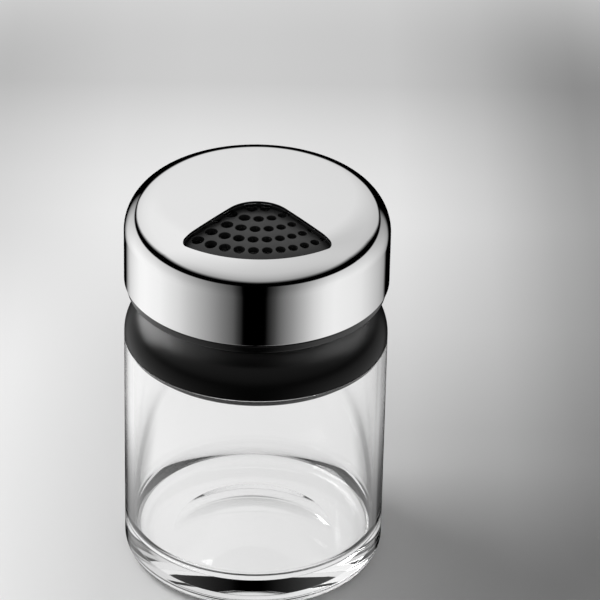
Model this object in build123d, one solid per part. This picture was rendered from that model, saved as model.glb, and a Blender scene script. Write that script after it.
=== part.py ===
from build123d import *
import os
from math import acos, asin, cos, degrees, radians, sin, sqrt, tan

# Spice jar with a turning cap. Millimetres. The jar stands on z = 0, its axis is Z and the window faces -Y.

# Glass jar
body_radius = 32.0
glass_wall = 2.2
glass_height = 60.9
floor_thickness = 7.0
base_edge_radius = 4.0
floor_edge_radius = 5.0
foot_width = 8.2
push_up_depth = 2.0
rim_radius = 0.3

# Collar: shoulder, plug in the glass, waist under the cap's lip, neck in the cap
shoulder_radius = 9.0
neck_inset = 3.6
neck_wall = 1.6
waist_inset = 3.0
waist_height = 1.9
plug_depth = 3.0
plug_wall = 2.1
plug_gap = 0.9
plug_edge_bevel = 0.4
shoulder_land = 0.4
seat_gap = 0.1

# Seal ring on the plug
seal_width = 1.4
seal_groove_depth = 1.0
seal_below = 0.8
seal_clearance = 0.1
seal_lip_height = 0.4

# Cap: steel shell and plastic liner
shoulder_gap = 15.3
cap_height = 23.8
cap_edge_radius = 9.6
cap_crown_rise = 1.92
steel_thickness = 0.6
rim_edge_radius = 0.25
window_edge_radius = 0.2
fit_gap = 0.1
liner_wall = 0.8
liner_lip = 2.4
liner_lip_bevel = 0.5
reveal_height = 0.6
reveal_depth = 0.5
running_gap = 0.25

# Snap: a bead on the neck, and a ring in the liner below it
bead_height = 1.4
bead_reach = 0.8
bead_place = 3.0
snap_clearance = 0.25
snap_height = 1.6
snap_place = 0.8

# Window in the cap, a sector that points away from the axis
window_margin = 4.2
window_half_angle = 41.0
window_forward = 0.4
window_apex_radius = 8.7
window_corner_radius = 1.6

# Sifter disc
sifter_thickness = 1.4
sifter_seat_drop = 2.9
spigot_height = 3.0
spigot_wall = 1.2
middle_hole = 2.55
hole_grading = 1.12
hole_bridge = 0.72
first_ring_radius = 5.7
last_ring_margin = 4.3
holed_half_angle = 130.0
# where one hole of each ring lies, in degrees from the front, from the innermost ring out
ring_start_angles = (-14.9, 1.3, -2.2, -3.0, -2.1)

# How far a cutting tool runs past what it cuts, and how a cylinder stands on its place
overrun = 1.0
standing = (Align.CENTER, Align.CENTER, Align.MIN)

# Radii that follow from the body's
mouth_radius = body_radius - glass_wall
push_up_radius = body_radius - base_edge_radius - foot_width
neck_radius = body_radius - neck_inset
waist_radius = neck_radius - waist_inset
window_radius = body_radius - window_margin
last_ring_radius = window_radius - last_ring_margin
ring_pitch = (last_ring_radius - first_ring_radius) / (len(ring_start_angles) - 1)

# Levels, from the table up
collar_seat = glass_height + seat_gap
cap_rim = glass_height + shoulder_gap
cap_top = cap_rim + cap_height
plug_bottom = collar_seat - plug_depth
plug_radius = mouth_radius - plug_gap

# Centres of the arcs of the cap's outline
crown_radius = (body_radius ** 2 + cap_crown_rise ** 2) / (2 * cap_crown_rise)
crown_level = cap_top - crown_radius
edge_centre = body_radius - cap_edge_radius
edge_level = crown_level + sqrt((crown_radius - cap_edge_radius) ** 2 - edge_centre ** 2)
edge_sweep = 90 - degrees(asin(edge_centre / (crown_radius - cap_edge_radius)))

sifter_inset = steel_thickness + fit_gap + liner_wall + running_gap
neck_top = edge_level + sifter_seat_drop


def turned(*edges):
    """The solid that an outline of edges in radius and height makes when it is turned about the axis."""
    return revolve(Plane.XZ * make_face(edges), Axis.Z)


def turned_outline(*points):
    return turned(*Polyline(*points, close=True).edges())


def ring(inner, outer, low, high):
    return turned_outline((inner, low), (outer, low), (outer, high), (inner, high))


def cap_form(inset, low):
    """All that lies under the cap's outline, set in by inset, down to the level low."""
    side = body_radius - inset
    return turned(
        Line((0, low), (side, low)),
        Line((side, low), (side, edge_level)),
        CenterArc((edge_centre, edge_level), cap_edge_radius - inset, 0, edge_sweep),
        CenterArc((0, crown_level), crown_radius - inset, edge_sweep, 90 - edge_sweep),
        Line((0, cap_top - inset), (0, low)),
    )


def window_prism():
    """The window's outline as a prism that cuts the cap's top and not its rim.

    Its sides run from a point just in front of the axis to an arc about the axis.
    """
    half = radians(window_half_angle)
    across = window_forward * sin(half)
    side = sqrt(window_radius ** 2 - across ** 2) - window_forward * cos(half)
    left = (-side * sin(half), -window_forward - side * cos(half))
    right = (-left[0], left[1])
    turn = degrees(asin(side * sin(half) / window_radius))
    outline = make_face([
        Line((0, -window_forward), left),
        CenterArc((0, 0), window_radius, 270 - turn, 2 * turn),
        Line(right, (0, -window_forward)),
    ])
    corners = outline.vertices().sort_by(Axis.Y)
    outline = fillet(corners[:2], window_corner_radius)
    apex = outline.vertices().sort_by(Axis.Y)[-1]
    outline = fillet(apex, window_apex_radius)
    return extrude(Pos(0, 0, edge_level) * outline, cap_height)


def hole_diameter(angle):
    """Holes shrink smoothly from one end of the holed field to the other."""
    return middle_hole - hole_grading * sin(radians(90 * angle / holed_half_angle))


def ring_angles(radius, start):
    """Places of a ring's holes: the same bridge stays between all neighbours, both ways from the start."""
    angles = [start]
    for way in (-1, 1):
        angle = start
        while True:
            step = degrees((hole_diameter(angle) + hole_bridge) / radius)
            middle = angle + way * step / 2
            angle += way * degrees((hole_diameter(middle) + hole_bridge) / radius)
            if abs(angle) > holed_half_angle - degrees(hole_diameter(angle) / radius) / 2:
                break
            angles.append(angle)
    return angles


def sifter_holes():
    tools = []
    for number, start in enumerate(ring_start_angles):
        radius = first_ring_radius + number * ring_pitch
        for angle in ring_angles(radius, start):
            across = radius * sin(radians(angle))
            along = -radius * cos(radians(angle))
            tool = Cylinder(hole_diameter(angle) / 2, cap_height, align=standing)
            tools.append(Pos(across, along, neck_top) * tool)
    return tools


def glass_jar():
    outer = Cylinder(body_radius, glass_height, align=standing)
    outer = fillet(outer.edges().sort_by(Axis.Z)[0], base_edge_radius)
    room_height = glass_height - floor_thickness + overrun
    room = Cylinder(mouth_radius, room_height, align=standing)
    room = Pos(0, 0, floor_thickness) * fillet(room.edges().sort_by(Axis.Z)[0], floor_edge_radius)
    jar = outer - room
    jar = fillet(jar.edges().group_by(Axis.Z)[-1], rim_radius)
    ball_radius = (push_up_radius ** 2 + push_up_depth ** 2) / (2 * push_up_depth)
    return jar - Pos(0, 0, push_up_depth - ball_radius) * Sphere(ball_radius)


def collar():
    arc_centre = body_radius - shoulder_radius
    arc_level = collar_seat + shoulder_land
    shoulder_sweep = degrees(acos((waist_radius - arc_centre) / shoulder_radius))
    waist_foot = arc_level + shoulder_radius * sin(radians(shoulder_sweep))
    waist_top = waist_foot + waist_height
    neck_foot = waist_top + waist_inset
    bore = neck_radius - neck_wall
    waist_bore = waist_radius - neck_wall
    # the flare from waist to neck leans by 45 degrees, and this keeps its wall as thick as the rest
    flare_offset = neck_wall * tan(radians(22.5))
    plug_bore = plug_radius - plug_wall
    body = turned(
        Line((plug_bore, plug_bottom), (plug_radius - plug_edge_bevel, plug_bottom)),
        Line((plug_radius - plug_edge_bevel, plug_bottom), (plug_radius, plug_bottom + plug_edge_bevel)),
        Line((plug_radius, plug_bottom + plug_edge_bevel), (plug_radius, collar_seat)),
        Line((plug_radius, collar_seat), (body_radius, collar_seat)),
        Line((body_radius, collar_seat), (body_radius, arc_level)),
        CenterArc((arc_centre, arc_level), shoulder_radius, 0, shoulder_sweep),
        Line((waist_radius, waist_foot), (waist_radius, waist_top)),
        Line((waist_radius, waist_top), (neck_radius, neck_foot)),
        Line((neck_radius, neck_foot), (neck_radius, neck_top)),
        Line((neck_radius, neck_top), (bore, neck_top)),
        Line((bore, neck_top), (bore, neck_foot + flare_offset)),
        Line((bore, neck_foot + flare_offset), (waist_bore, waist_top + flare_offset)),
        Line((waist_bore, waist_top + flare_offset), (waist_bore, waist_foot)),
        Line((waist_bore, waist_foot), (plug_bore, plug_bottom)),
    )
    bead_low = cap_rim + bead_place
    bead_out = neck_radius + bead_reach
    bead = turned_outline(
        (bore + neck_wall / 2, bead_low),
        (bead_out, bead_low),
        (bead_out, bead_low + bead_height / 2),
        (neck_radius, bead_low + bead_height),
        (bore + neck_wall / 2, bead_low + bead_height),
    )
    groove_low = plug_bottom + seal_below
    groove = ring(plug_radius - seal_groove_depth, body_radius, groove_low, groove_low + seal_width)
    return body + bead - groove


def seal_ring():
    """A band in the plug's groove, with two lips that reach for the glass."""
    low = plug_bottom + seal_below + seat_gap / 2
    high = low + seal_width - seat_gap
    inner = plug_radius - seal_groove_depth + seat_gap / 2
    waist = plug_radius + (plug_gap - seal_clearance) / 2
    tip = mouth_radius - seal_clearance
    return turned_outline(
        (inner, low),
        (waist, low),
        (tip, low + seal_lip_height / 2),
        (tip, low + seal_lip_height),
        (waist, (low + high) / 2),
        (tip, high - seal_lip_height),
        (tip, high - seal_lip_height / 2),
        (waist, high),
        (inner, high),
    )


def sifter_disc():
    form = cap_form(sifter_inset, neck_top)
    hollow = cap_form(sifter_inset + sifter_thickness, neck_top)
    bore = neck_radius - neck_wall
    plate = form & Cylinder(neck_radius, 2 * (cap_top + overrun))
    plate -= hollow & Cylinder(bore, 2 * (cap_top + overrun))
    plate = Pos(0, 0, seat_gap) * plate
    seat = neck_top + seat_gap
    spigot_out = bore - fit_gap
    spigot_in = spigot_out - spigot_wall
    flange = ring(spigot_in, neck_radius, seat, seat + sifter_thickness)
    spigot = ring(spigot_in, spigot_out, seat - spigot_height, seat + sifter_thickness)
    return plate + flange + spigot - sifter_holes()


def outside_of_window(place):
    """Whether a place on the steel lies on the window's upper edge, and not under it or away from it."""
    reach = sqrt(place.X ** 2 + place.Y ** 2)
    if reach > window_radius + rim_edge_radius:
        return False
    if reach < edge_centre:
        level = crown_level + sqrt(crown_radius ** 2 - reach ** 2)
    else:
        level = edge_level + sqrt(cap_edge_radius ** 2 - (reach - edge_centre) ** 2)
    return abs(place.Z - level) < steel_thickness / 4


def cap_shell():
    shell = cap_form(0, cap_rim) - cap_form(steel_thickness, cap_rim - overrun)
    shell = fillet(shell.edges().group_by(Axis.Z)[0], rim_edge_radius)
    shell -= window_prism()
    window_edges = shell.edges().filter_by(lambda edge: outside_of_window(edge.center()))
    return fillet(window_edges, window_edge_radius)


def cap_liner():
    inset = steel_thickness + fit_gap
    low = cap_rim - liner_lip
    liner = cap_form(inset, low) - cap_form(inset + liner_wall, low - overrun)
    liner = chamfer(liner.edges().group_by(Axis.Z)[0].sort_by(SortBy.RADIUS)[-1], liner_lip_bevel)
    side = body_radius - inset
    reveal = ring(side - reveal_depth, body_radius, cap_rim - reveal_height, cap_rim + reveal_height / 2)
    snap_low = cap_rim + snap_place
    snap_in = neck_radius + snap_clearance
    snap_out = body_radius - inset - liner_wall / 2
    snap = turned_outline(
        (snap_in + snap_height / 2, snap_low),
        (snap_out, snap_low),
        (snap_out, snap_low + snap_height),
        (snap_in, snap_low + snap_height),
        (snap_in, snap_low + snap_height / 2),
    )
    return liner + snap - reveal - window_prism()


makers = (glass_jar, collar, seal_ring, sifter_disc, cap_liner, cap_shell)

os.makedirs("parts", exist_ok=True)
for maker in makers:
    export_step(maker(), f"parts/{maker.__name__}.step")
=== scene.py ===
# %% [markdown]
# # A spice jar with a turning steel cap
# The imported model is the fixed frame: it says where every piece is. This file gives each piece its finish and the
# fine surface that a mirror, clear glass or glossy moulding needs, and sets up the light and the camera.

# %% Load the frame
import bmesh
import bpy
import numpy as np
from mathutils import Matrix, Vector, geometry


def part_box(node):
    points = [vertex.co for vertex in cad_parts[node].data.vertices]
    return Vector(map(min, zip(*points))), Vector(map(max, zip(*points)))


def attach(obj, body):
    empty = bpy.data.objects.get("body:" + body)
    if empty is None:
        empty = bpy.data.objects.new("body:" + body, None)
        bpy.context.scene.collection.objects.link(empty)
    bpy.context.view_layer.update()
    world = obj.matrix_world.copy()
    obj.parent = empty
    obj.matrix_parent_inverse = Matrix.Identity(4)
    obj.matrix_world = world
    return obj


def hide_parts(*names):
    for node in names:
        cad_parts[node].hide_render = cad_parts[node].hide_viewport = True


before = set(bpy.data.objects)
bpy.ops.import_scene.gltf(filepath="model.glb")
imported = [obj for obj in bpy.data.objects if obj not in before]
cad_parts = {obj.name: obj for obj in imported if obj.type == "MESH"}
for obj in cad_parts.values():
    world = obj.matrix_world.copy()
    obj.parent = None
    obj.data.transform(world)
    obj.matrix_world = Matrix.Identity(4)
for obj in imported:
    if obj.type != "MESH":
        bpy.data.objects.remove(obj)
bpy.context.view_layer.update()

# %% [markdown]
# ## Sizes
# The main sizes are read from the frame, so that they can't drift from the solids. The rest are the fine sizes that
# a box doesn't give: wall thicknesses, edge roundings and the arcs of the cap's outline. All are in metres.

# %% Sizes read from the frame
mm = 0.001


def levels(node):
    """Radius, lowest and highest level of a node that is round about the Z axis."""
    low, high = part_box(node)
    return high.x, low.z, high.z


_, table, glass_top = levels("glass_jar")
_, cap_rim, cap_top = levels("cap_shell")
_, liner_low, _ = levels("cap_liner")
seal_radius, seal_low, seal_high = levels("seal_ring")
neck_radius, spigot_low, _ = levels("sifter_disc")
body_radius, plug_bottom, neck_top = levels("collar")
print("rim, neck, glass and top levels in mm", [round(v / mm, 2) for v in (cap_rim, neck_top, glass_top, cap_top)])

# %% Fine sizes
fit_gap = 0.1 * mm
running_gap = 0.25 * mm
groove_gap = 0.05 * mm

glass_wall = 2.2 * mm
floor_thickness = 7 * mm
base_edge = 4 * mm
floor_edge = 5 * mm
push_up_radius = 19.8 * mm
push_up_depth = 2 * mm
foot_edge = 1.2 * mm
glass_rim_edge = 0.3 * mm

shoulder_radius = 9 * mm
shoulder_land = 0.4 * mm
neck_wall = 1.6 * mm
waist_inset = 3 * mm
waist_height = 1.9 * mm
plug_radius = 28.9 * mm
plug_bore = 26.8 * mm
plug_bevel = 0.4 * mm
seal_groove_radius = 27.9 * mm
seal_lip = 0.4 * mm
collar_seat = glass_top + fit_gap
moulded_edge = 0.15 * mm

bead_low = cap_rim + 3 * mm
bead_height = 1.4 * mm
bead_reach = 0.8 * mm

steel = 0.6 * mm
liner_wall = 0.8 * mm
liner_window_edge = 0.1 * mm
rim_groove_depth = 0.5 * mm
rim_groove_low, rim_groove_high = cap_rim - 0.6 * mm, cap_rim + 0.3 * mm
snap_low = cap_rim + 0.8 * mm
snap_height = 1.6 * mm
cap_edge_radius = 9.6 * mm
crown_rise = 1.92 * mm
window_reach = 27.8 * mm
window_half_angle = np.radians(41)
window_forward = 0.4 * mm
window_apex_radius = 8.7 * mm
window_corner_radius = 1.6 * mm
window_edge = 0.05 * mm
rim_edge = 0.25 * mm

sifter_wall = 1.4 * mm
spigot_wall = 1.2 * mm
hole_round = 0.12 * mm
plate_round = 0.4 * mm

crown_radius = (body_radius ** 2 + crown_rise ** 2) / (2 * crown_rise)
crown_level = cap_top - crown_radius
edge_centre = body_radius - cap_edge_radius
edge_level = crown_level + np.sqrt((crown_radius - cap_edge_radius) ** 2 - edge_centre ** 2)
crown_lean = np.arcsin(edge_centre / (crown_radius - cap_edge_radius))

# %% [markdown]
# ## Surfaces from grids
# A turned piece is its outline carried round the axis, and a pressed cap is a skin laid over two parameters. Both are
# a grid of points, grid[i, j], where i runs round the piece and j along its outline. The normal at each point is the
# cross product of the two directions in the grid, taken from neighbour to neighbour. Stored in the mesh, it makes
# a mirror or a lens read as one smooth surface, which flat facets never do.

# %% Grid to mesh
turned_points = 256


def grid_normals(grid, closed):
    """Unit normals of a grid, from the differences between each point's neighbours in both directions."""
    round_way = np.roll(grid, -1, 0) - np.roll(grid, 1, 0)
    if closed:
        along = np.roll(grid, -1, 1) - np.roll(grid, 1, 1)
    else:
        ends = grid[:, 1:2] - grid[:, :1], grid[:, -1:] - grid[:, -2:-1]
        along = np.concatenate([ends[0], grid[:, 2:] - grid[:, :-2], ends[1]], 1)
    normals = np.cross(round_way, along)
    length = np.linalg.norm(normals, axis=2, keepdims=True)
    return normals / np.maximum(length, 1e-15)


def skin(name, grid, closed=True):
    """A smooth piece from a grid that closes round the axis, and along its outline too if closed is true.

    An open outline starts and ends on the axis, where each end row becomes one vertex, so the piece has no hole.
    """
    rows, columns = grid.shape[:2]
    normals = grid_normals(grid, closed)
    index = np.arange(rows * columns).reshape(rows, columns)
    if not closed:
        for end, inner in ((0, 1), (-1, -2)):
            index[:, end] = index[0, end]
            normals[:, end] = np.sign(normals[:, inner].sum(0)[2]) * np.array([0, 0, 1])
    used, compact = np.unique(index, return_inverse=True)
    index = compact.reshape(index.shape)
    following = np.roll(index, -1, 0)
    if closed:
        quads = np.stack([index, following, np.roll(following, -1, 1), np.roll(index, -1, 1)], -1)
        faces = quads.reshape(-1, 4).tolist()
    else:
        quads = np.stack([index[:, :-1], following[:, :-1], following[:, 1:], index[:, 1:]], -1)
        first = quads[:, 0][:, [0, 2, 3]]
        last = quads[:, -1][:, [0, 1, 2]]
        faces = quads[:, 1:-1].reshape(-1, 4).tolist() + first.tolist() + last.tolist()
    return finished(name, grid.reshape(-1, 3)[used], faces, normals.reshape(-1, 3)[used])


def finished(name, points, faces, normals=None):
    """Puts points and faces in a mesh that faces outwards, by the sign of its volume, and links its object."""
    mesh = bpy.data.meshes.new(name)
    mesh.from_pydata(points.tolist(), [], faces)
    mesh.calc_loop_triangles()
    triangles = np.zeros(len(mesh.loop_triangles) * 3, int)
    mesh.loop_triangles.foreach_get("vertices", triangles)
    a, b, c = (points[triangles.reshape(-1, 3)[:, k]] for k in range(3))
    if (np.cross(a, b) * c).sum() < 0:
        mesh.flip_normals()
        normals = None if normals is None else -normals
    mesh.shade_smooth()
    if normals is not None:
        mesh.normals_split_custom_set_from_vertices(normals.tolist())
    piece = bpy.data.objects.new(name, mesh)
    bpy.context.scene.collection.objects.link(piece)
    print(name, len(mesh.vertices), "points,", len(mesh.loop_triangles), "triangles")
    return piece


def turned(name, outline, closed=True):
    """A turned piece: each point (radius, height) of the outline goes round the axis."""
    angle = np.linspace(0, 2 * np.pi, turned_points, endpoint=False)[:, None]
    radius, height = outline[:, 0][None], outline[:, 1][None]
    grid = np.stack([radius * np.cos(angle), radius * np.sin(angle), height + 0 * angle], -1)
    return skin(name, grid, closed)


# %% [markdown]
# Every real edge is rounded a little: a mould can't make a knife edge, and glass is melted smooth. So an outline is
# drawn from corners that each have a radius, and longer arcs are added between them.

# %% Outlines from corners and arcs


def arc(centre, radius, start, end, steps=24):
    """Points on an arc, where the angle is 0 outwards and 90 degrees up."""
    angle = np.radians(np.linspace(start, end, steps))
    return np.stack([centre[0] + radius * np.cos(angle), centre[1] + radius * np.sin(angle)], -1)


def rounded(corners, steps=6):
    """An outline through corners (radius, height, rounding), all but the first and last cut round.

    Each rounding is the arc that touches both sides of its corner: its centre lies on the line that halves the
    corner, and it starts at rounding / tan(half the corner's angle) from the corner. A corner that hardly turns stays.
    """
    nearly_straight = 1.56
    corners = np.array(corners, float)
    pieces = [corners[:1, :2]]
    for before, corner, after in zip(corners[:-2], corners[1:-1], corners[2:]):
        one = (before - corner)[:2] / np.linalg.norm((before - corner)[:2])
        two = (after - corner)[:2] / np.linalg.norm((after - corner)[:2])
        half = np.arccos(np.clip(one @ two, -1, 1)) / 2
        if corner[2] == 0 or half > nearly_straight:
            pieces.append(corner[None, :2])
            continue
        centre = corner[:2] + (one + two) / np.linalg.norm(one + two) * corner[2] / np.sin(half)
        start = corner[:2] + one * corner[2] / np.tan(half) - centre
        end = corner[:2] + two * corner[2] / np.tan(half) - centre
        turn = np.arctan2(start[0] * end[1] - start[1] * end[0], start @ end)
        angle = (np.linspace(0, 1, steps) * turn)[:, None]
        aside = np.array([-start[1], start[0]])
        pieces.append(centre + np.cos(angle) * start + np.sin(angle) * aside)
    pieces.append(corners[-1:, :2])
    return np.vstack(pieces)


# %% [markdown]
# ## The glass jar
# A pressed soda-lime jar has a straight wall, a thick floor that gives it weight, and a hollow pushed up into its base
# so that it stands on a ring. The outline goes from the middle of the underside, round the outside, over the rim and
# down inside to the middle of the floor. It is one closed surface, because light has to enter and leave the glass.

# %% Glass jar
ball_radius = (push_up_radius ** 2 + push_up_depth ** 2) / (2 * push_up_depth)
ball_sweep = np.degrees(np.arcsin(push_up_radius / ball_radius))
mouth_radius = body_radius - glass_wall
curved_share = 0.9  # of the hollow's arc, before the foot's rounding takes over
hollow = arc((0, push_up_depth - ball_radius), ball_radius, 90, 90 - ball_sweep * curved_share)
hollow[0, 0] = 0
walls = rounded([
    (*hollow[-1], 0),
    (push_up_radius, table, foot_edge),
    (body_radius, table, base_edge),
    (body_radius, glass_top, glass_rim_edge),
    (mouth_radius, glass_top, glass_rim_edge),
    (mouth_radius, floor_thickness, floor_edge),
    (0, floor_thickness, 0),
], steps=14)
jar = turned("jar_glass", np.vstack([hollow, walls[1:]]), closed=False)
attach(jar, "jar")
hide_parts("glass_jar")

# %% [markdown]
# ## The collar
# One black moulding: a plug that goes into the glass, a round shoulder that carries the jar's outline on, a waist that
# leaves a dark gap under the cap, and a neck that the cap turns on, with a bead that the cap snaps over. The outline
# is closed, like the section of the moulding.

# %% Collar
arc_level = collar_seat + shoulder_land
arc_centre = body_radius - shoulder_radius
waist_radius = neck_radius - waist_inset
shoulder_sweep = np.degrees(np.arccos((waist_radius - arc_centre) / shoulder_radius))
waist_foot = arc_level + shoulder_radius * np.sin(np.radians(shoulder_sweep))
waist_top = waist_foot + waist_height
neck_foot = waist_top + waist_inset
bore = neck_radius - neck_wall
waist_bore = waist_radius - neck_wall
flare_offset = neck_wall * np.tan(np.radians(22.5))
seal_groove_low, seal_groove_high = seal_low - groove_gap, seal_high + groove_gap
lower = rounded([
    (plug_bore, plug_bottom, 0),
    (plug_radius - plug_bevel, plug_bottom, moulded_edge),
    (plug_radius, plug_bottom + plug_bevel, moulded_edge),
    (plug_radius, seal_groove_low, moulded_edge),
    (seal_groove_radius, seal_groove_low, moulded_edge),
    (seal_groove_radius, seal_groove_high, moulded_edge),
    (plug_radius, seal_groove_high, moulded_edge),
    (plug_radius, collar_seat, moulded_edge),
    (body_radius, collar_seat, moulded_edge),
    (body_radius, arc_level, 0),
])
rounding_angle = 2  # degrees of the shoulder's arc that the corner at the waist takes up
shoulder = arc((arc_centre, arc_level), shoulder_radius, 0, shoulder_sweep - rounding_angle, 60)
upper = rounded([
    (*shoulder[-1], 0),
    (waist_radius, waist_foot, moulded_edge),
    (waist_radius, waist_top, 2 * moulded_edge),
    (neck_radius, neck_foot, 2 * moulded_edge),
    (neck_radius, bead_low, moulded_edge),
    (neck_radius + bead_reach, bead_low, moulded_edge),
    (neck_radius + bead_reach, bead_low + bead_height / 2, moulded_edge),
    (neck_radius, bead_low + bead_height, moulded_edge),
    (neck_radius, neck_top, moulded_edge),
    (bore, neck_top, moulded_edge),
    (bore, neck_foot + flare_offset, 0),
    (waist_bore, waist_top + flare_offset, 0),
    (waist_bore, waist_foot, 0),
    (plug_bore, plug_bottom, 0),
])
collar = turned("collar_moulding", np.vstack([lower[:-1], shoulder[:-1], upper[:-1]]))
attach(collar, "head")
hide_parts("collar")

# %% [markdown]
# ## The seal
# A soft ring sits in the plug's groove. Its two lips lean out to the glass and keep the spice dry, so its outline has
# two small crests with a dip between them.

# %% Seal ring
seal_inner = seal_groove_radius + groove_gap
seal_middle = (seal_low + seal_high) / 2
dip_radius = (plug_radius + seal_radius) / 2
soft_edge = moulded_edge / 2
seal = turned("seal_lips", rounded([
    (seal_inner, seal_middle, 0),
    (seal_inner, seal_low, moulded_edge),
    (dip_radius, seal_low, soft_edge),
    (seal_radius, seal_low + seal_lip / 2, soft_edge),
    (seal_radius, seal_low + seal_lip, soft_edge),
    (dip_radius, seal_middle, soft_edge),
    (seal_radius, seal_high - seal_lip, soft_edge),
    (seal_radius, seal_high - seal_lip / 2, soft_edge),
    (dip_radius, seal_high, soft_edge),
    (seal_inner, seal_high, moulded_edge),
    (seal_inner, seal_middle, 0),
])[:-1])
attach(seal, "head")
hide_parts("seal_ring")

# %% [markdown]
# ## The cap's skin
# The cap is deep-drawn from sheet: a crown that rises about 2 mm, a round edge and a straight side. A point on it is
# known from how far its normal leans from upright, which grows evenly with the way walked over the skin from the
# middle. The same formula, with smaller radii, gives the inside of the sheet and the plastic liner under it.

# %% The cap's outline as a formula


def cap_radius(lean, inset):
    """Radius where the skin, set in by inset, leans that much: a large arc for the crown, then the edge's arc."""
    crown = (crown_radius - inset) * np.sin(lean)
    edge = edge_centre + (cap_edge_radius - inset) * np.sin(lean)
    return np.where(lean <= crown_lean, crown, edge)


def cap_height(lean, inset):
    crown = crown_level + (crown_radius - inset) * np.cos(lean)
    edge = edge_level + (cap_edge_radius - inset) * np.cos(lean)
    return np.where(lean <= crown_lean, crown, edge)


def lean_at(radius, inset):
    """The other way round: the lean at a radius, from the arcsine of its share of the crown's or the edge's arc."""
    on_crown = radius <= (crown_radius - inset) * np.sin(crown_lean)
    crown = np.arcsin(np.clip(radius / (crown_radius - inset), -1, 1))
    edge = np.arcsin(np.clip((radius - edge_centre) / (cap_edge_radius - inset), -1, 1))
    return np.where(on_crown, crown, edge)


def way_of(lean):
    """Way walked over the skin from the middle: radius of the arc times the angle, for the crown and then the edge."""
    return np.minimum(lean, crown_lean) * crown_radius + np.maximum(lean - crown_lean, 0) * cap_edge_radius


def lean_of(way):
    over_crown = crown_lean * crown_radius
    return np.minimum(way, over_crown) / crown_radius + np.maximum(way - over_crown, 0) / cap_edge_radius


# %% [markdown]
# The window is a sector that points away from the axis, with a generous round apex and two tight corners. Its outline
# is four arcs and two straight sides. Spreading it by a distance keeps the centres of the arcs and adds to their
# radii, which is how a rounded cut edge widens the hole towards the top.

# %% The window's outline
apex_centre = np.array([0, -window_forward - window_apex_radius / np.sin(window_half_angle)])
corner_way = window_reach - window_corner_radius
corner_aside = window_corner_radius + window_forward * np.sin(window_half_angle)
corner_angle = window_half_angle - np.arcsin(corner_aside / corner_way)


def window_outline(directions, spread=0.0):
    """Plan points of the window's outline, seen from its apex arc's centre in each of the given directions."""
    half, turn = np.degrees(window_half_angle), np.degrees(corner_angle)
    right = corner_way * np.array([np.sin(corner_angle), -np.cos(corner_angle)])
    corners = window_corner_radius + spread
    loop = np.vstack([
        arc(right, corners, turn - 90, half, 40),
        arc(apex_centre, window_apex_radius + spread, half, 180 - half, 80),
        arc(right * (-1, 1), corners, 180 - half, 270 - turn, 40),
        arc((0, 0), window_reach + spread, 270 - turn, 270 + turn, 120),
    ])
    step = np.concatenate([[0], np.cumsum(np.linalg.norm(np.diff(loop, axis=0), axis=1))])
    even = np.linspace(0, step[-1], 6000)
    dense = np.stack([np.interp(even, step, loop[:, k]) for k in (0, 1)], -1) - apex_centre
    angle = np.unwrap(np.arctan2(dense[:, 1], dense[:, 0]))
    reach = np.linalg.norm(dense, axis=1)
    wanted = angle[0] + np.mod(directions - angle[0], 2 * np.pi)
    found = np.interp(wanted, angle, reach)
    return apex_centre + found[:, None] * np.stack([np.cos(directions), np.sin(directions)], -1)


even_directions = np.linspace(-np.pi, np.pi, 300, endpoint=False)
corner_back_and_aside = corner_way * np.array([-np.cos(corner_angle), np.sin(corner_angle)])
corner_direction = np.arctan2(*(corner_back_and_aside - apex_centre[::-1]))
near_corner = np.radians(np.linspace(-9, 9, 37))
directions = np.unique(np.round(np.mod(np.concatenate([
    even_directions,
    corner_direction + near_corner,
    np.pi - corner_direction + near_corner,
]), 2 * np.pi), 5))
print("directions round the window", len(directions))

# %% [markdown]
# The skin between the window and the cap's edge is laid on a flat map where a point lies at its way from the middle,
# in its own direction, so a straight line on the map runs smoothly over the crown and down the edge. Lines go from
# the window's outline to the edge, and each then goes on down the side, round the rim, up inside, and back through
# the cut wall of the window. So the whole sheet is one closed surface with one hole.

# %% Sheets with a window
outer_steps, inner_steps, cut_steps = 90, 40, 7


def on_map(plan, inset):
    """Where a plan point of a skin lies on the flat map."""
    radius = np.linalg.norm(plan, axis=-1)
    return plan / radius[..., None] * way_of(lean_at(radius, inset))[..., None]


def top_rows(hole, inset, steps):
    """Rows of points from the hole's outline out to the lower end of the round edge."""
    share = np.linspace(0, 1, steps)[None, :, None]
    outside = way_of(np.pi / 2) * np.stack([np.cos(directions), np.sin(directions)], -1)
    spot = on_map(hole, inset)[:, None] * (1 - share) + outside[:, None] * share
    way = np.linalg.norm(spot, axis=-1)
    lean = lean_of(way)
    flat = spot / way[..., None] * cap_radius(lean, inset)[..., None]
    return np.concatenate([flat, cap_height(lean, inset)[..., None]], -1)


def ring_rows(outline):
    """Rows of points round the axis, one for each point (radius, height) of an outline."""
    aim = np.stack([np.cos(directions), np.sin(directions)], -1)[:, None]
    radius, height = outline[None, :, :1], outline[None, :, 1:]
    return np.concatenate([aim * radius, height + 0 * aim[..., :1]], -1)


def cut_rows(spreads, depths, inset):
    """Rows of points at the window's cut edge: each spread from its outline and at a depth under the skin."""
    rows = []
    for spread, depth in zip(spreads, depths):
        plan = window_outline(directions, spread)
        height = cap_height(lean_at(np.linalg.norm(plan, axis=-1), inset), inset) - depth
        rows.append(np.concatenate([plan, height[:, None]], -1))
    return np.stack(rows, 1)


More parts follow.
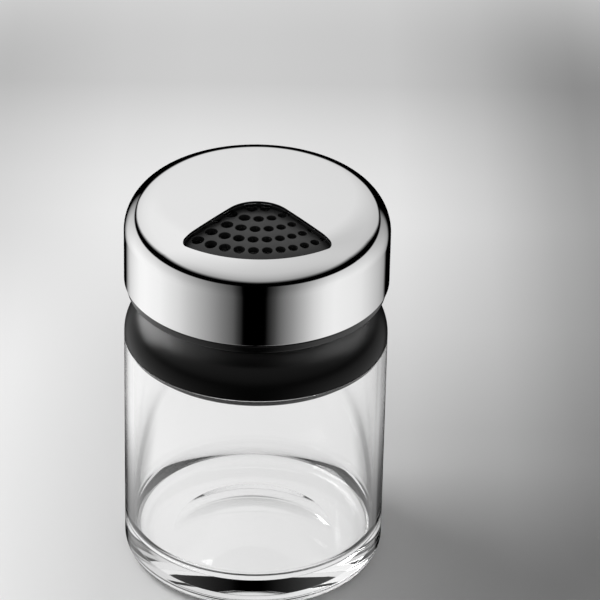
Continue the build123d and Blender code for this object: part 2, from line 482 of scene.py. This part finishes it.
def sheet_with_window(name, outer, inner, cut_round, skirt):
    """A capped sheet between two insets, with the window cut through it.

    The skirt is the outline from the lower end of the outer round edge down, round the rim and up to the inner one.
    The attribute "cut" is 1 on the window's cut edge, which its last rows make, and 0 elsewhere.
    """
    turn = np.linspace(0, np.pi / 2, cut_steps)
    spreads, depths = cut_round * (1 - np.sin(turn)), cut_round * (1 - np.cos(turn))
    grid = np.concatenate([
        top_rows(window_outline(directions, cut_round), outer, outer_steps),
        ring_rows(rounded(skirt, steps=7)[1:-1]),
        top_rows(window_outline(directions), inner, inner_steps)[:, ::-1],
        cut_rows([0.0], [inner - outer - window_edge], outer),
        cut_rows(spreads[:0:-1], depths[:0:-1], outer),
    ], 1)
    piece = skin(name, grid)
    cut = np.zeros(grid.shape[:2])
    cut[:, -cut_steps:] = 1
    piece.data.attributes.new("cut", "FLOAT", "POINT").data.foreach_set("value", cut.ravel())
    return piece


# %% [markdown]
# ## The steel shell and its liner
# The steel is 0.6 mm sheet. The liner under it is a black moulding that grips the sheet and hides its raw inside. Its
# wall shows in the window, and its lip stands 2.4 mm below the steel rim, with a narrow groove along the rim. A ring
# inside the liner snaps under the collar's bead.

# %% Cap shell
inner_side = body_radius - steel
shell = sheet_with_window("cap_steel", 0.0, steel, window_edge, [
    (body_radius, edge_level, 0),
    (body_radius, cap_rim, rim_edge),
    (inner_side, cap_rim, rim_edge),
    (inner_side, edge_level, 0),
])
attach(shell, "cap")
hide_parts("cap_shell")

# %% Cap liner
liner_outer = steel + fit_gap
liner_inner = liner_outer + liner_wall
liner_face = body_radius - liner_outer
liner_side = body_radius - liner_inner
rim_groove_face = liner_face - rim_groove_depth
snap_radius = neck_radius + running_gap
liner = sheet_with_window("cap_lining", liner_outer, liner_inner, liner_window_edge, [
    (liner_face, edge_level, 0),
    (liner_face, rim_groove_high, moulded_edge),
    (rim_groove_face, rim_groove_high, moulded_edge),
    (rim_groove_face, rim_groove_low, moulded_edge),
    (liner_face, rim_groove_low, moulded_edge),
    (liner_face, liner_low, 3 * moulded_edge),
    (liner_side, liner_low, moulded_edge),
    (liner_side, snap_low, moulded_edge),
    (snap_radius + snap_height / 2, snap_low, moulded_edge),
    (snap_radius, snap_low + snap_height / 2, moulded_edge),
    (snap_radius, snap_low + snap_height, moulded_edge),
    (liner_side, snap_low + snap_height, moulded_edge),
    (liner_side, edge_level, 0),
])
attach(liner, "cap")
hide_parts("cap_liner")

# %% [markdown]
# ## The sifter disc
# A domed black plate, parallel to the steel, with rings of holes that shrink evenly round it: turning the window over
# them chooses how coarse a spice can pass. The plan is a triangulation between the hole edges and the rim, which is
# then laid on the dome, above and below. Short walls join the two skins in each hole, with a tiny rounding on top.

# %% Where the holes are
middle_hole = 2.55 * mm
hole_grading = 1.12 * mm
hole_bridge = 0.72 * mm
holed_half_angle = 130.0
first_ring_radius, last_ring_radius = 5.7 * mm, 23.5 * mm
ring_start_angles = (-14.9, 1.3, -2.2, -3.0, -2.1)
ring_radii = np.linspace(first_ring_radius, last_ring_radius, len(ring_start_angles))


def hole_diameter(angle):
    """Sine-shaped grading: coarse at one end of the holed field, fine at the other."""
    return middle_hole - hole_grading * np.sin(np.radians(90 * angle / holed_half_angle))


def ring_angles(radius, start):
    """The angles of a ring's holes, with the same bridge between neighbours, both ways from the start."""
    angles = [start]
    for way in (-1, 1):
        angle = start
        while True:
            step = np.degrees((hole_diameter(angle) + hole_bridge) / radius)
            middle = angle + way * step / 2
            angle += way * np.degrees((hole_diameter(middle) + hole_bridge) / radius)
            if abs(angle) > holed_half_angle - np.degrees(hole_diameter(angle) / radius) / 2:
                break
            angles.append(angle)
    return np.array(angles)


places, radii = [], []
for ring, start in zip(ring_radii, ring_start_angles):
    angles = ring_angles(ring, start)
    places.append(ring * np.stack([np.sin(np.radians(angles)), -np.cos(np.radians(angles))], -1))
    radii.append(hole_diameter(angles) / 2)
places, radii = np.vstack(places), np.concatenate(radii)
print("holes", len(radii), "diameters in mm", round(2 * radii.min() / mm, 2), "to", round(2 * radii.max() / mm, 2))

# %% Sifter disc
sifter_inset = liner_inner + running_gap
sifter_lift = fit_gap
spigot_out = bore - fit_gap
spigot_in = spigot_out - spigot_wall
plate_points = 192
hole_points = 28
filler_rings = 12
filler_gap = 0.9 * mm


def dome_height(plan, inset):
    return cap_height(lean_at(np.linalg.norm(plan, axis=-1), inset), inset) + sifter_lift


def circle(count):
    angle = np.linspace(0, 2 * np.pi, count, endpoint=False)
    return np.stack([np.cos(angle), np.sin(angle)], -1)


def plate_plan(outer, hole_grow):
    """Triangles between the rim circle and all hole circles, with filler points where no hole is near."""
    rim = outer * circle(plate_points)
    holes = places[:, None] + (radii + hole_grow)[:, None, None] * circle(hole_points)
    filler_radii = np.linspace(0.02, 0.94, filler_rings) * outer
    filler_counts = np.linspace(6, 96, filler_rings).astype(int)
    spots = np.vstack([ring * circle(count) for ring, count in zip(filler_radii, filler_counts)])
    away = np.linalg.norm(spots[:, None] - places[None], axis=-1) - radii
    spots = spots[away.min(1) > filler_gap]
    points = np.vstack([rim, holes.reshape(-1, 2), spots])
    loops = [np.arange(len(rim))] + [len(rim) + k * hole_points + np.arange(hole_points) for k in range(len(radii))]
    edges = np.vstack([np.stack([loop, np.roll(loop, -1)], -1) for loop in loops])
    flat = [Vector(p) for p in (points / mm).tolist()]
    plan, _, faces, *_ = geometry.delaunay_2d_cdt(flat, edges.tolist(), [], 0, 1e-7)
    plan = np.array([tuple(p) for p in plan]) * mm
    faces = np.array([face for face in faces if len(face) == 3])
    middle = plan[faces].mean(1)
    in_hole = (np.linalg.norm(middle[:, None] - places[None], axis=-1) < radii + hole_grow).any(1)
    return plan, faces[~in_hole]


def strip(rings):
    """Faces between rows of rings that all have the same number of points: rings[hole, row, point]."""
    count, rows, sides = rings.shape[:3]
    index = np.arange(count * rows * sides).reshape(count, rows, sides)
    quads = np.stack([index[:, :-1], np.roll(index, -1, 2)[:, :-1], np.roll(index, -1, 2)[:, 1:], index[:, 1:]], -1)
    return quads.reshape(-1, 4)


edge_plan = neck_radius - plate_round
top_plan, top_faces = plate_plan(edge_plan, hole_round)
low_plan, low_faces = plate_plan(spigot_in, 0.0)
top = np.column_stack([top_plan, dome_height(top_plan, sifter_inset)])
low = np.column_stack([low_plan, dome_height(low_plan, sifter_inset + sifter_wall)])

turn = np.linspace(0, np.pi / 2, 5)
wall_grow = np.append(hole_round * (1 - np.sin(turn)), 0)
wall_drop = np.append(hole_round * (1 - np.cos(turn)), 0)
wall_plan = places[:, None, None] + (radii[:, None] + wall_grow)[..., None, None] * circle(hole_points)
wall_height = dome_height(wall_plan, sifter_inset) - wall_drop[:, None]
wall_height[:, -1] = dome_height(wall_plan[:, -1], sifter_inset + sifter_wall)
walls = np.concatenate([wall_plan, wall_height[..., None]], -1)

edge_height = float(dome_height(np.array([edge_plan, 0]), sifter_inset))
side_top = float(dome_height(np.array([neck_radius, 0]), sifter_inset))
seat = neck_top + sifter_lift
under = float(dome_height(np.array([spigot_in, 0]), sifter_inset + sifter_wall))
body_outline = rounded([
    (edge_plan, edge_height, 0),
    (neck_radius, side_top, plate_round / 2),
    (neck_radius, seat, moulded_edge),
    (spigot_out, seat, moulded_edge),
    (spigot_out, spigot_low, moulded_edge),
    (spigot_in, spigot_low, moulded_edge),
    (spigot_in, under, 0),
])
body = np.concatenate([
    body_outline[:, None, :1] * circle(plate_points)[None],
    np.broadcast_to(body_outline[:, None, 1:], (len(body_outline), plate_points, 1)),
], -1)[None]

parts = [
    (top, top_faces),
    (low, low_faces[:, ::-1]),
    (walls.reshape(-1, 3), strip(walls)),
    (body.reshape(-1, 3), strip(body)),
]
points, faces, start = [], [], 0
for part_points, part_faces in parts:
    points.append(part_points)
    faces += (part_faces + start).tolist()
    start += len(part_points)
sifter = finished("sifter_plate", np.vstack(points), faces)

# %% [markdown]
# The skins and walls share their edges, so their doubled points are merged, the faces are made to agree, and only
# edges that turn more than 50 degrees stay sharp.

# %% Join the sifter's skins
merge_distance = 0.002 * mm
sharp_angle = np.radians(50)
joined = bmesh.new()
joined.from_mesh(sifter.data)
bmesh.ops.remove_doubles(joined, verts=joined.verts, dist=merge_distance)
bmesh.ops.recalc_face_normals(joined, faces=joined.faces)
open_edges = sum(1 for edge in joined.edges if len(edge.link_faces) != 2)
joined.to_mesh(sifter.data)
joined.free()
sifter.data.set_sharp_from_angle(angle=sharp_angle)
print("open edges of the sifter", open_edges)
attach(sifter, "head")
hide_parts("sifter_disc")

# %% [markdown]
# ## Materials
# Small helpers: one turns a hex colour as a painter writes it into the linear values that light adds up in, one adds
# a node with its settings and links, and the rest add the few kinds of node that most materials here share.

# %% Material helpers


def colour(code):
    """sRGB hex to linear: below 0.04045 a straight line, above it a power of 2.4."""
    values = [int(code[k:k + 2], 16) / 255 for k in (1, 3, 5)]
    return (*(v / 12.92 if v <= 0.04045 else ((v + 0.055) / 1.055) ** 2.4 for v in values), 1.0)


def add(tree, kind, inputs=None, stops=None, **settings):
    """Adds a node. inputs holds values or sockets to link, and stops the places and colours of a ramp."""
    node = tree.nodes.new(kind)
    for name, value in settings.items():
        setattr(node, name, value)
    for name, value in (inputs or {}).items():
        if isinstance(value, bpy.types.NodeSocket):
            tree.links.new(value, node.inputs[name])
        else:
            node.inputs[name].default_value = value
    if stops:
        ramp = node.color_ramp
        while len(ramp.elements) < len(stops):
            ramp.elements.new(1.0)
        for element, (place, shade) in zip(ramp.elements, stops):
            element.position = place
            element.color = (shade, shade, shade, 1) if isinstance(shade, (int, float)) else shade
    return node


def calc(tree, operation, *values):
    """The output of a maths node on values or sockets."""
    return add(tree, "ShaderNodeMath", dict(enumerate(values)), operation=operation).outputs[0]


def smooth(tree, value, low, high):
    """0 below low, 1 above high, and an S-shaped step between them."""
    return add(tree, "ShaderNodeMapRange", {"Value": value, "From Min": low, "From Max": high},
               interpolation_type="SMOOTHSTEP").outputs["Result"]


def blended(tree, share, one, two):
    """One value where share is 0, the other where it is 1."""
    return add(tree, "ShaderNodeMix", {0: share, 2: one, 3: two}, data_type="FLOAT").outputs[0]


def spread_over(tree, value, low, high, **limits):
    """The value's own range from 0 to 1, or the limits "From Min" and "From Max", carried to low and high."""
    return add(tree, "ShaderNodeMapRange", {"Value": value, "To Min": low, "To Max": high, **limits}).outputs["Result"]


def noise(tree, place, width, detail):
    """Soft noise with patches about this wide."""
    return add(tree, "ShaderNodeTexNoise", {"Vector": place, "Scale": 1 / width, "Detail": detail}).outputs["Fac"]


def bump(tree, pattern, strength, depth):
    return add(tree, "ShaderNodeBump", {"Height": pattern, "Strength": strength, "Distance": depth}).outputs["Normal"]


def new_material(name):
    """An empty material, its node tree and, in it, the coordinates of the piece that wears it."""
    material = bpy.data.materials.new(name)
    material.use_nodes = True
    tree = material.node_tree
    tree.nodes.clear()
    return material, tree, add(tree, "ShaderNodeTexCoord").outputs["Object"]


def dress(piece, material, tree, surface):
    """Ends the material with a surface and gives it to the piece."""
    add(tree, "ShaderNodeOutputMaterial", {"Surface": surface})
    piece.data.materials.clear()
    piece.data.materials.append(material)


def principled(tree, **values):
    """A surface from the inputs of the Principled shader, whose spaces are written as underscores."""
    inputs = {name.replace("_", " "): value for name, value in values.items()}
    return add(tree, "ShaderNodeBsdfPrincipled", inputs).outputs["BSDF"]


# %% [markdown]
# **Polished stainless steel.** The cap is deep-drawn, then buffed to a mirror, which here is a neutral, bright one.
# Buffing leaves fine swirls that only blur reflections a little, and handling leaves faint smudges, so the roughness
# varies softly between 0.02 and 0.05. The window is punched after the buffing, so its cut edge is left rougher, and
# its colour is darkened far below steel's as painted shade for the window's dark wall.

# %% Polished stainless steel
polished, tree, place = new_material("buffed_stainless_steel")
smudges = noise(tree, place, 9 * mm, 4.0)
gloss = spread_over(tree, smudges, 0.02, 0.05, **{"From Min": 0.35, "From Max": 0.7})
dents = bump(tree, noise(tree, place, 14 * mm, 1.0), 0.015, 0.3 * mm)
cut = add(tree, "ShaderNodeAttribute", attribute_name="cut").outputs["Fac"]
# The cut edge's colour is darkened far below steel's: painted shade for the window's dark wall.
steel_with_painted_edge_shade = add(tree, "ShaderNodeValToRGB", {"Fac": cut}, stops=[(0.0, colour("#EAEAEA")), (1.0, colour("#2E2E2E"))])
dulled = calc(tree, "MULTIPLY_ADD", cut, 0.3, gloss)
dress(shell, polished, tree, principled(
    tree, Base_Color=steel_with_painted_edge_shade.outputs["Color"], Metallic=1.0, Roughness=dulled, Normal=dents))

# %% [markdown]
# **Glossy black plastic.** The collar comes from a smooth mould. It is a deep black with soft-edged highlights, and
# its surface mirrors little except at a glance. A very slight waviness, like orange peel a few millimetres wide, is
# what the moulding's shrinkage leaves.

# %% Glossy moulded plastic
glossy, tree, place = new_material("glossy_moulded_styrene")
ripple = bump(tree, noise(tree, place, 5 * mm, 2.0), 0.04, 0.2 * mm)
gloss = spread_over(tree, noise(tree, place, 2 * mm, 5.0), 0.27, 0.33)
dress(collar, glossy, tree, principled(
    tree, Base_Color=colour("#060606"), Roughness=gloss, IOR=1.5, Specular_IOR_Level=0.12, Normal=ripple))

# %% [markdown]
# **Textured black plastic.** The sifter's mould is spark-eroded, which prints a fine grain on the plate, so it looks
# dark grey and matt beside the collar. The grain is drawn 0.25 mm wide, a little coarser than real, so that it shows.

# %% Grained moulded plastic
grained, tree, place = new_material("spark_grained_polypropylene")
tooth = bump(tree, noise(tree, place, 0.25 * mm, 2.0), 0.2, 0.05 * mm)
cloud = noise(tree, place, 6 * mm, 3.0)
shade = add(tree, "ShaderNodeValToRGB", {"Fac": cloud}, stops=[(0.3, colour("#141414")), (0.7, colour("#191919"))])
dress(sifter, grained, tree, principled(
    tree, Base_Color=shade.outputs["Color"], Roughness=0.42, IOR=1.49, Normal=tooth))

# %% [markdown]
# **Satin black plastic** for the liner, and **silicone rubber** for the seal, which is softer and duller still.

# %% Satin plastic and silicone
satin, tree, place = new_material("satin_moulded_nylon")
tooth = bump(tree, noise(tree, place, 0.4 * mm, 2.0), 0.2, 0.03 * mm)
dress(liner, satin, tree, principled(tree, Base_Color=colour("#060606"), Roughness=0.16, IOR=1.53, Normal=tooth))

rubber, tree, place = new_material("soft_silicone_rubber")
dull = spread_over(tree, noise(tree, place, 3 * mm, 4.0), 0.5, 0.7)
dress(seal, rubber, tree, principled(
    tree, Base_Color=colour("#101010"), Roughness=dull, IOR=1.41, Specular_IOR_Level=0.2))

# %% [markdown]
# **Pressed soda-lime glass.** Clear, with the index 1.52 of table glass. The mould leaves the wall very slightly
# wavy, which bends the lines behind it, and the thick floor shows the faint grey of the melt.

# %% Clear glass
clear, tree, place = new_material("pressed_soda_lime_glass")
bend = bump(tree, noise(tree, place, 22 * mm, 1.0), 0.05, 0.5 * mm)
dress(jar, clear, tree, principled(
    tree, Base_Color=colour("#FCFCFC"), Roughness=0.0, IOR=1.52, Transmission_Weight=1.0, Normal=bend))

# %% [markdown]
# ## The studio
# The photograph is a plain studio shot: a pale surface with a soft gradient, light from everywhere, and a dark band
# near the horizon with a dark strip in front, which the steel shows as crisp black lines. A mirror is only as good as
# what it mirrors, so the world holds these bands, for reflections alone. They are given by direction, with Z up: the
# sky's light falls off to the right and towards the front, and the table's is strongest at both sides.

# %% World
scene = bpy.context.scene
world = bpy.data.worlds.new("soft_studio")
scene.world = world
world.use_nodes = True
tree = world.node_tree
tree.nodes.clear()
way = add(tree, "ShaderNodeTexCoord")
axes = add(tree, "ShaderNodeSeparateXYZ", {"Vector": way.outputs["Generated"]})
height = axes.outputs["Z"]
front = calc(tree, "MULTIPLY", axes.outputs["Y"], -1.0)
azimuth = calc(tree, "ARCTAN2", axes.outputs["X"], front)
azimuth_share = calc(tree, "MULTIPLY_ADD", azimuth, 0.5 / np.pi, 0.5)


def by_azimuth(*stops):
    """A value that follows the azimuth in degrees: 0 is the front, and it grows to the right."""
    places = [((angle + 180) / 360, value) for angle, value in stops]
    return add(tree, "ShaderNodeValToRGB", {"Fac": azimuth_share}, stops=places).outputs["Color"]


def by_height(*stops):
    """A value that follows the sine of the elevation, from 0 at the horizon to 1 overhead."""
    return add(tree, "ShaderNodeValToRGB", {"Fac": height}, stops=stops).outputs["Color"]


round_sky = by_azimuth((-180, 0.93), (-150, 1.0), (-90, 1.0), (-60, 0.92), (-30, 0.86), (0, 0.8), (30, 0.78),
                       (60, 0.75), (90, 0.72), (114, 0.68), (134, 0.7), (150, 0.76), (170, 0.86), (180, 0.92))
front_sky = by_height((0.2, 0.3), (0.326, 0.49), (0.485, 0.7), (0.629, 0.83), (0.766, 0.88), (0.94, 0.94), (1.0, 1.0))
back_sky = by_height((0.1, 0.8), (0.34, 0.93), (0.5, 0.98), (1.0, 1.0))
band_middle = by_azimuth((-180, 0.21), (-172, 0.2), (-162, 0.13), (-151, 0.09), (-135, 0.13), (-111, 0.215),
                         (-86, 0.285), (-57, 0.26), (0, 0.24), (57, 0.27), (86, 0.29), (111, 0.25), (133, 0.13),
                         (151, 0.085), (162, 0.08), (170, 0.13), (176, 0.2), (180, 0.21))
table_light = by_azimuth((-156, 0.0), (-151, 0.35), (-142, 0.77), (-132, 0.95), (-122, 1.09), (-112, 1.12),
                         (-92, 1.05), (-71, 0.82), (-61, 0.65), (-51, 0.51), (-31, 0.24), (-20, 0.12), (-16, 0.05),
                         (-11, 0.0), (8, 0.0), (12, 0.03), (16, 0.07), (20, 0.14), (31, 0.32), (41, 0.53), (51, 0.77),
                         (61, 0.95), (71, 1.02), (92, 0.97), (102, 0.92), (112, 0.8), (122, 0.68), (132, 0.56),
                         (142, 0.38), (148, 0.0))
room_light, seen_light = 0.55, 0.8
frontness = smooth(tree, front, 0.0, 0.8)
elevated = blended(tree, frontness, back_sky, front_sky)
above = smooth(tree, height, calc(tree, "MULTIPLY", band_middle, 0.8), calc(tree, "MULTIPLY", band_middle, 1.35))
sky = calc(tree, "MULTIPLY", calc(tree, "MULTIPLY", round_sky, elevated), above)
nearer = spread_over(tree, height, 1.0, 0.75, **{"From Min": -0.35, "From Max": 0.02})
below = calc(tree, "SUBTRACT", 1.0, smooth(tree, height, 0.02, 0.06))
table_part = calc(tree, "MULTIPLY", calc(tree, "MULTIPLY", table_light, nearer), below)
studio = calc(tree, "ADD", sky, table_part)
path = add(tree, "ShaderNodeLightPath")
mirrored = calc(tree, "MAXIMUM", path.outputs["Is Glossy Ray"], path.outputs["Is Transmission Ray"])
plain = blended(tree, path.outputs["Is Camera Ray"], room_light, seen_light)
background = add(tree, "ShaderNodeBackground", {"Color": blended(tree, mirrored, plain, studio), "Strength": 1.0})
add(tree, "ShaderNodeOutputWorld", {"Surface": background.outputs["Background"]})

# %% [markdown]
# The jar stands on a pale sweep. Its colour carries painted shade that falls off to the right, to the front there and
# to the back, and near the jar on its left, as it does in the photograph, and is plain again farther away. Rays that
# come through the glass see a painted glow in its place, an emission that follows the paper's tone, so that the glass
# stays clear, with painted shade close to both sides of the jar, which is what draws the dark edges of the glass.
# Mirror rays see the world's bands in its place.

# %% Floor
floor_size = 3.0
paper_white = 0.82
through_gain, through_base = 0.75, 0.26
# Depth of the painted shade on the through-glass glow at both sides of the jar.
painted_side_shade_depth = 0.85
floor_drop = 0.05 * mm
floor_mesh = bpy.data.meshes.new("floor")
corners = [(x * floor_size / 2, y * floor_size / 2, 0) for x, y in ((-1, -1), (1, -1), (1, 1), (-1, 1))]
floor_mesh.from_pydata(corners, [], [(0, 1, 2, 3)])
floor = bpy.data.objects.new("floor", floor_mesh)
scene.collection.objects.link(floor)
floor.visible_glossy = False
floor.location.z = -floor_drop
floor_material, tree, spot = new_material("paper_sweep_with_painted_shade")
axes = add(tree, "ShaderNodeSeparateXYZ", {"Vector": spot})


def by_place(value, *stops):
    """A value that follows a coordinate, with stops in millimetres from -100 to 300."""
    share = calc(tree, "MULTIPLY_ADD", value, 1 / 0.4, 0.25)
    places = [((level + 100) / 400, shade) for level, shade in stops]
    return add(tree, "ShaderNodeValToRGB", {"Fac": share}, stops=places).outputs["Color"]


across, away = axes.outputs["X"], axes.outputs["Y"]
to_right = by_place(across, (0, 1.0), (40, 0.95), (66, 0.76), (85, 0.54), (96, 0.45), (140, 0.42))
right_front = by_place(away, (0, 0.55), (52, 0.66), (102, 0.86), (157, 1.0))
left_near = by_place(across, (-65, 0.97), (-36, 0.82))
left_far = by_place(across, (-76, 0.76), (-60, 0.84), (-42, 0.93), (-20, 0.98))
left_side = blended(tree, smooth(tree, away, 70 * mm, 170 * mm), left_near, left_far)
to_back = by_place(away, (165, 1.0), (186, 0.96), (213, 0.87), (245, 0.72))
sides = blended(tree, smooth(tree, across, -10 * mm, 60 * mm), left_side, right_front)
# The floor's colour carries painted shade: darker to the right, to the front there, to the back and near the jar.
painted_shade_falloff = calc(tree, "MULTIPLY", calc(tree, "MULTIPLY", to_right, sides), to_back)
middle = add(tree, "ShaderNodeVectorMath", {0: spot, 1: (0, 120 * mm, 0)}, operation="DISTANCE").outputs["Value"]
far = smooth(tree, middle, 150 * mm, 280 * mm)
tone_with_painted_shade = blended(tree, far, painted_shade_falloff, 1.0)
paper = add(tree, "ShaderNodeBsdfDiffuse", {"Color": calc(tree, "MULTIPLY", tone_with_painted_shade, paper_white)})
from_axis = add(tree, "ShaderNodeVectorMath", {0: spot}, operation="LENGTH").outputs["Value"]
at_sides = smooth(tree, calc(tree, "ABSOLUTE", across), 30 * mm, 37 * mm)
close = calc(tree, "SUBTRACT", 1.0, smooth(tree, from_axis, 40 * mm, 85 * mm))
# Painted shade close to both sides of the jar, for rays that come through the glass.
painted_side_shade_factor = calc(tree, "MULTIPLY_ADD", calc(tree, "MULTIPLY", at_sides, close), -painted_side_shade_depth, 1.0)
# Rays through the glass see a painted glow, an emission, instead of the lit paper.
glow = calc(tree, "MULTIPLY_ADD", tone_with_painted_shade, through_gain, through_base)
through = add(tree, "ShaderNodeEmission", {"Color": calc(tree, "MULTIPLY", glow, painted_side_shade_factor)})
path = add(tree, "ShaderNodeLightPath")
floor_shader = add(tree, "ShaderNodeMixShader", {
    0: path.outputs["Is Transmission Ray"], 1: paper.outputs[0], 2: through.outputs[0]})
dress(floor, floor_material, tree, floor_shader.outputs[0])

# %% [markdown]
# One large soft light high on the left gives the jar a direction and a soft shadow to the right. Four more stand
# behind it, two a side. They light the collar alone, where they make the long soft highlights. They ignore shadows,
# because the cap that overhangs the collar would hide them.

# %% Lamps


def soft_box(name, azimuth, elevation, distance, size, power):
    """A square area light, placed by direction and distance from the jar's middle, which its face looks at."""
    aim = np.array([0, 0, cap_top / 2])
    turn, lift = np.radians([azimuth, elevation])
    place = aim + distance * np.array([np.sin(turn) * np.cos(lift), -np.cos(turn) * np.cos(lift), np.sin(lift)])
    lamp = bpy.data.lights.new(name, "AREA")
    lamp.shape = "SQUARE"
    lamp.size = size
    lamp.energy = power
    box = bpy.data.objects.new(name, lamp)
    box.location = place
    box.rotation_euler = Vector(aim - place).to_track_quat("-Z", "Y").to_euler()
    scene.collection.objects.link(box)
    return box


key = soft_box("key_light", -110, 49, distance=1.13, size=0.6, power=9.0)
key.visible_glossy = False
moulding = bpy.data.collections.new("glossy_moulding")
moulding.objects.link(collar)
for name, azimuth, elevation, power in (("left_strip", -124, 33, 11.0), ("left_upper", -108, 56, 1.6),
                                        ("right_strip", 115, 43, 3.5), ("right_upper", 98, 60, 1.4)):
    strip_light = soft_box(name, azimuth, elevation, distance=0.8, size=0.5, power=power)
    strip_light.visible_diffuse = False
    strip_light.visible_transmission = False
    strip_light.light_linking.receiver_collection = moulding
    strip_light.data.use_shadow = False
    strip_light.data.cycles.use_multiple_importance_sampling = False

# %% [markdown]
# ## The camera
# It stands 30 cap radii away, 30.6 degrees above the cap's rim, with a long lens, and is rolled by about a degree.
# Its place was found by matching the projected rings of the cap and collar to the photograph.

# %% Camera
camera_distance = 30 * body_radius
camera_height_angle = np.radians(30.56)
pitch, yaw, roll = np.radians(30.88), np.radians(0.73), np.radians(1.21)
focal_pixels = 3982
picture_pixels = 600

forward = np.array([np.sin(yaw) * np.cos(pitch), np.cos(yaw) * np.cos(pitch), -np.sin(pitch)])
level = np.array([np.cos(yaw), -np.sin(yaw), 0])
upright = np.cross(level, forward)
right = np.cos(roll) * level + np.sin(roll) * upright
up = -np.sin(roll) * level + np.cos(roll) * upright
spot = np.array([0, -np.cos(camera_height_angle), np.sin(camera_height_angle)]) * camera_distance + (0, 0, cap_rim)

lens = bpy.data.cameras.new("camera")
lens.sensor_width = 36
lens.lens = lens.sensor_width * focal_pixels / picture_pixels
lens.clip_start = 0.05
camera = bpy.data.objects.new("camera", lens)
facing = np.column_stack([right, up, -forward, spot])
camera.matrix_world = Matrix(np.vstack([facing, [0, 0, 0, 1]]).tolist())
scene.collection.objects.link(camera)
scene.camera = camera
scene.view_settings.view_transform = "Standard"
